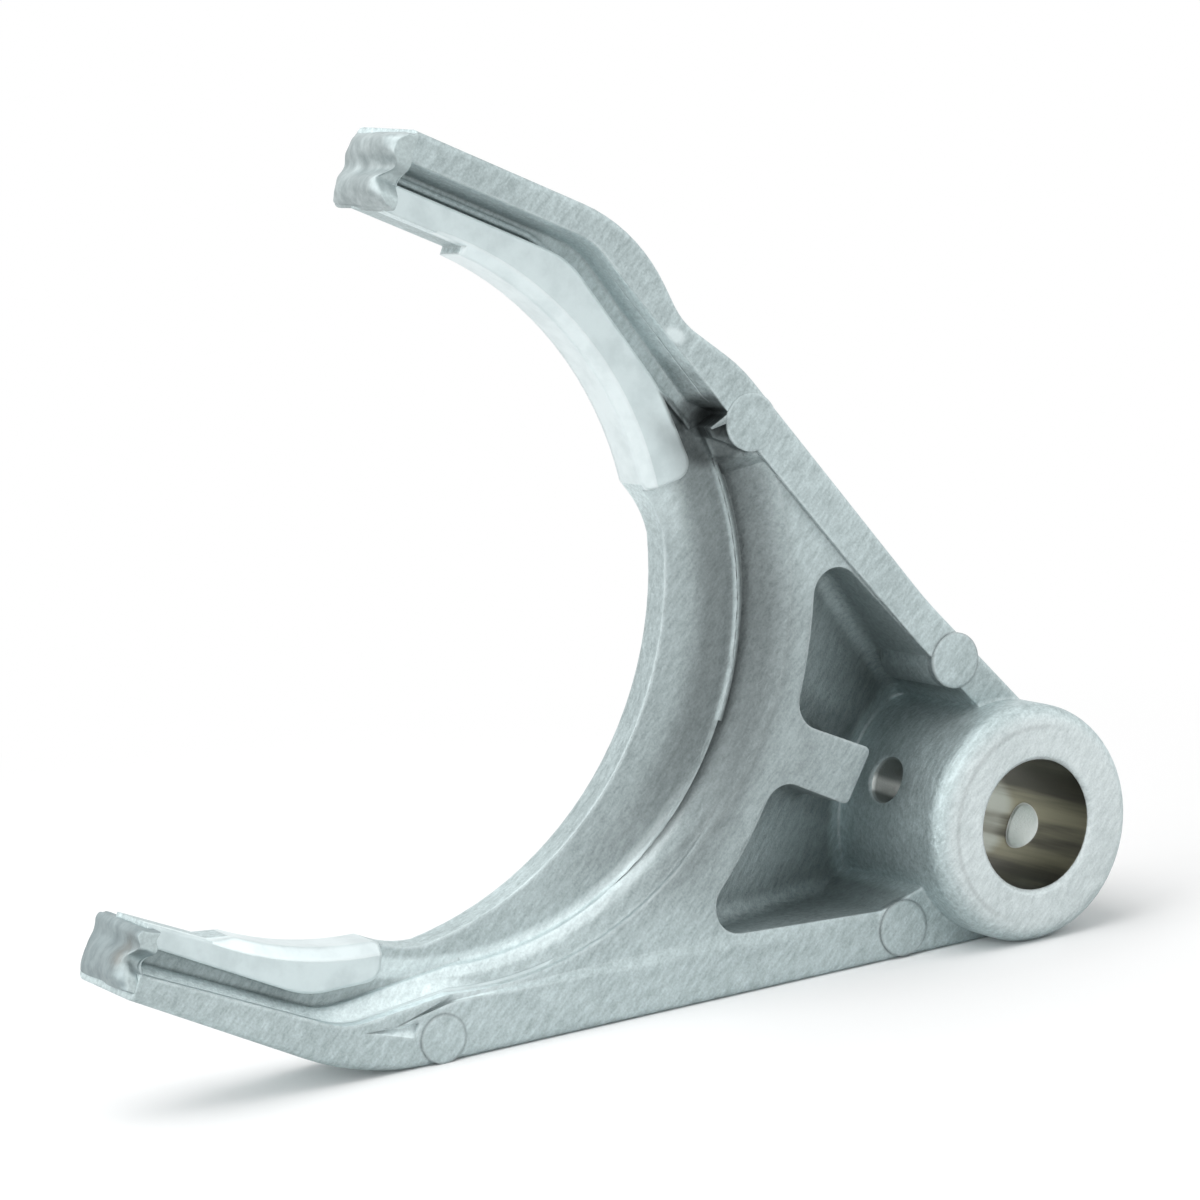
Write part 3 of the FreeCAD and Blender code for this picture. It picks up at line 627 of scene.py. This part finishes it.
smooth_place = milled.larger(front_of_pad * 0.6).larger(reamed)
roughness = CAST_ROUGHNESS + (grain - 0.5) * 0.12 - smooth_place * SMOOTHER_CUT
relief = object_place.node("ShaderNodeBump", strength=0.85, distance=RELIEF_HEIGHT,
                           height=grain * (1.0 - smooth_place), normal=edge)
tree.links.new(colour.socket, surface.inputs["Base Color"])
tree.links.new(roughness.socket, surface.inputs["Roughness"])
tree.links.new(relief.socket, surface.inputs["Normal"])
surface.inputs["Metallic"].default_value = 1.0

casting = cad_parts["shift_fork"]
casting.data.materials.clear()
casting.data.materials.append(cast)
print("the cast material has", len(tree.nodes), "nodes")

# %% [markdown]
# The torn ends
#
# The metal that fed the two prongs was broken off, and left a lumpy, torn face at the
# end of each, with a waist between two lobes. It could be a bump on the flat end, but
# the real face changes the outline, so each end gets a small block. It starts as a cube
# of the right size, cut fine enough to be shaped.
# %% A place on the fork, and a finely cut block
CUTS = 11


def from_fork(there, deep, height):
    """The place in metres of a point given as across, depth and up in millimetres."""
    return Vector((math.cos(STANCE) * there + math.sin(STANCE) * height, deep - HALF_BOSS,
                   math.cos(STANCE) * height - math.sin(STANCE) * there)) * MM


def fine_block(name, thick, deep, tall):
    """A block at the origin, with its sizes in millimetres, cut into small cells."""
    bpy.ops.object.select_all(action="DESELECT")
    bpy.ops.mesh.primitive_cube_add(size=1, location=(0, 0, 0))
    block = bpy.context.object
    block.name = name
    block.scale = Vector((thick, deep, tall)) * MM
    bpy.ops.object.transform_apply(location=False, rotation=False, scale=True)
    bpy.ops.object.mode_set(mode="EDIT")
    bpy.ops.mesh.select_mode(type="VERT")
    bpy.ops.mesh.select_all(action="SELECT")
    bpy.ops.mesh.subdivide(number_cuts=CUTS)
    bpy.ops.mesh.select_all(action="DESELECT")
    bpy.ops.object.mode_set(mode="OBJECT")
    return block


print("a block of each end is cut into", CUTS + 1, "cells each way")

# %% [markdown]
# Pushes and lumps
#
# By hand, a lump is shaped in Edit Mode with proportional editing, which draws the
# neighbours of a point along with it. The same tool runs here from the script. Torn
# metal is also rough at two sizes, and moving every point by a cloud texture, once in
# broad lumps and once in fine ones, is quicker than sculpting it.
# %% Pushes and lumps
# The size of the clouds, and how far apart the highest and lowest points end up, in mm.
BROAD_LUMPS = (3.4, 0.4)
FINE_LUMPS = (1.2, 0.09)


def push(block, chosen, way, reach):
    """Moves the chosen points of the block, in millimetres, and draws their neighbours along."""
    for vertex in block.data.vertices:
        vertex.select = chosen(vertex.co / MM)
    bpy.ops.object.mode_set(mode="EDIT")
    bpy.ops.transform.translate(value=Vector(way) * MM, use_proportional_edit=True,
                                proportional_edit_falloff="SMOOTH",
                                proportional_size=reach * MM)
    bpy.ops.mesh.select_all(action="DESELECT")
    bpy.ops.object.mode_set(mode="OBJECT")


def roughen(block):
    """Halves the cells and moves them by a cloud texture, first in broad lumps, then in fine."""
    for cloud_size, strength in (BROAD_LUMPS, FINE_LUMPS):
        cloud = bpy.data.textures.new(block.name + "_cloud", "CLOUDS")
        cloud.noise_scale = cloud_size * MM
        smooth = block.modifiers.new("smooth", "SUBSURF")
        smooth.levels = smooth.render_levels = 1
        bpy.ops.object.modifier_apply(modifier=smooth.name)
        lumps = block.modifiers.new("lumps", "DISPLACE")
        lumps.texture = cloud
        lumps.texture_coords = "LOCAL"
        lumps.strength = strength * MM
        lumps.mid_level = 0.5
        bpy.ops.object.modifier_apply(modifier=lumps.name)


print("the lumps stand out by up to", BROAD_LUMPS[1] / 2, "mm")

# %% [markdown]
# The shape of the two ends
#
# Both ends have the same features at other heights: a waist between two lobes, rounded
# corners, and a groove in line with the channel. Two meshes could be shaped by hand, but
# one function with the measures of each end keeps them alike. A little of each block
# sits inside the prong, so that no gap shows, and the rest stays inside the CAD box.
# %% Torn ends
SEAT = 0.4
FRONT_REACH = 2.0
TOLERANCE = 0.1


def torn_end(name, end, low, high, front, back, waist, groove, proud):
    """A lumpy block on a prong's end, farther out in front, that goes on with the channel."""
    thick, deep, tall = proud + SEAT, back - front, high - low
    middle_height = (low + high) / 2
    cell = tall / (CUTS + 1)
    block = fine_block(name, thick, deep, tall)

    def outside(at): return at.x < TOLERANCE / 2 - thick / 2
    def top(at): return outside(at) and at.z > tall / 2 - TOLERANCE
    def bottom(at): return outside(at) and at.z < TOLERANCE - tall / 2
    def rear(at): return outside(at) and at.y > deep / 2 - TOLERANCE
    def on_front(at): return at.y < TOLERANCE - deep / 2
    def fore(at): return outside(at) and on_front(at)
    def in_waist(at): return outside(at) and abs(at.z - waist + middle_height) < cell * 0.6
    def in_groove(at): return on_front(at) and abs(at.z - groove + middle_height) < cell * 0.8

    push(block, in_waist, (proud - 0.05, 0, 0), 1.9)
    push(block, top, (proud - 0.1, 0, -0.5), 1.6)
    push(block, bottom, (proud - 0.15, 0, 0.3), 1.4)
    push(block, rear, (proud - 0.4, -0.2, 0), 1.4)
    push(block, fore, (0.4, 0.2, 0), 1.6)
    push(block, in_groove, (0, 1.8, 0), 1.4)
    for vertex in block.data.vertices:
        outward = 0.5 - vertex.co.x / (thick * MM)
        frontward = 0.5 - vertex.co.y / (deep * MM)
        vertex.co.x += END_SLANT * vertex.co.y - FRONT_REACH * MM * outward * frontward
    roughen(block)
    block.rotation_euler = (0, STANCE, 0)
    block.location = from_fork(end - proud + thick / 2, (front + back) / 2, middle_height)
    bpy.ops.object.transform_apply(location=True, rotation=True, scale=True)
    bpy.ops.object.shade_smooth()
    print(name, "has", len(block.data.polygons), "faces and reaches x",
          round(min(vertex.co.x for vertex in block.data.vertices) / MM, 2), "mm")
    return block


upper_torn = torn_end("upper_torn_end", end=-104.6, low=40.1, high=49.3, front=6.4, back=17.3,
                      waist=44.6, groove=43.7, proud=1.0)
lower_torn = torn_end("lower_torn_end", end=-105.6, low=-47.8, high=-40.2, front=6.4, back=17.1,
                      waist=-42.8, groove=-44.2, proud=0.5)

# %% [markdown]
# The torn metal
#
# Torn aluminium is silvery, with a few darker smears, and the lower end is darker. The
# casting's own material could go on here, but its masks stop at the prongs, so the two
# blocks share a small material of their own, which reads the height to know which is
# which.
# %% Torn metal
TORN_DARK = (0.33, 0.38, 0.385, 1)
TORN_LIGHT = (0.50, 0.56, 0.565, 1)
LOWER_TORN_DARK = (0.25, 0.30, 0.31, 1)
LOWER_TORN_LIGHT = (0.36, 0.42, 0.43, 1)
SMEAR_STRETCH = (0.45, 1.0, 1.0)
SMEAR_SIZE = 1.5

torn = bpy.data.materials.new("torn_aluminium")
torn.use_nodes = True
torn_tree = torn.node_tree
torn_surface = torn_tree.nodes["Principled BSDF"]
torn_place = Shade(torn_tree, torn_tree.nodes.new("ShaderNodeTexCoord").outputs["Object"])
torn_place = torn_place.node("ShaderNodeMapping", vector=torn_place, scale=PER_METRE)
smear_place = torn_place.node("ShaderNodeMapping", vector=torn_place,
                              rotation=(0, STREAK_TURN, 0))
smear_place = smear_place.node("ShaderNodeMapping", vector=smear_place, scale=SMEAR_STRETCH)
smears = smear_place.noise(SMEAR_SIZE, detail=4.0, roughness=0.65).above(0.26, 0.74)
lower_end = torn_place.parts()[2].below(35.0, 45.0)
torn_colour = lower_end.mixed(smears.mixed(TORN_DARK, TORN_LIGHT),
                              smears.mixed(LOWER_TORN_DARK, LOWER_TORN_LIGHT))
print("nodes of the torn metal:", len(torn_tree.nodes))

# %% [markdown]
# The stain, and the fronts of the blocks
#
# On the lower end a brown stain lies where the channel meets it, and the fronts of both
# blocks go on with the cast skin beside them. Both could be painted, but a distance from
# one point and the way the faces look are enough to place them.
# %% The stain, and the fronts of the blocks
STAIN = (0.24, 0.235, 0.215, 1)
STAIN_PLACE = from_fork(-107.0, 8.0, -43.6) / MM
SKIN_DARK = (0.44, 0.51, 0.515, 1)
SKIN_LIGHT = (0.53, 0.61, 0.615, 1)
SKIN_SIZE = 0.35
TORN_RELIEF = 0.06 * MM

from_stain = torn_place.node("ShaderNodeVectorMath", output=1, settings={"operation": "DISTANCE"},
                             input0=torn_place, input1=STAIN_PLACE)
stain = from_stain.below(0.8, 3.0) * (1.0 - smears) * 0.7
torn_colour = stain.mixed(torn_colour, STAIN)
torn_normal = Shade(torn_tree, torn_tree.nodes.new("ShaderNodeNewGeometry").outputs["Normal"])
on_the_front = torn_normal.parts()[1].below(-0.9, -0.6) * (1.0 - stain)
torn_grain = torn_place.noise(SKIN_SIZE, detail=3.0, roughness=0.6).above(0.3, 0.7)
torn_colour = on_the_front.mixed(torn_colour, torn_grain.mixed(SKIN_DARK, SKIN_LIGHT))
torn_relief = torn_place.node("ShaderNodeBump", strength=0.4, distance=TORN_RELIEF,
                              height=smears)
torn_tree.links.new(torn_colour.socket, torn_surface.inputs["Base Color"])
torn_tree.links.new(torn_relief.socket, torn_surface.inputs["Normal"])
torn_surface.inputs["Metallic"].default_value = 1.0
torn_surface.inputs["Roughness"].default_value = 0.58
print("nodes with the stain and the fronts:", len(torn_tree.nodes))

# %% [markdown]
# Dress the two ends
#
# The blocks are part of the casting and move as it does, so they ride on its body. Made
# one mesh with it, they would change the CAD model, which is to stay as it is.
# %% Dress the two ends
for block in (upper_torn, lower_torn):
    block.data.materials.append(torn)
    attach(block, "root")
    print(block.name, "rides on the fork's own body")
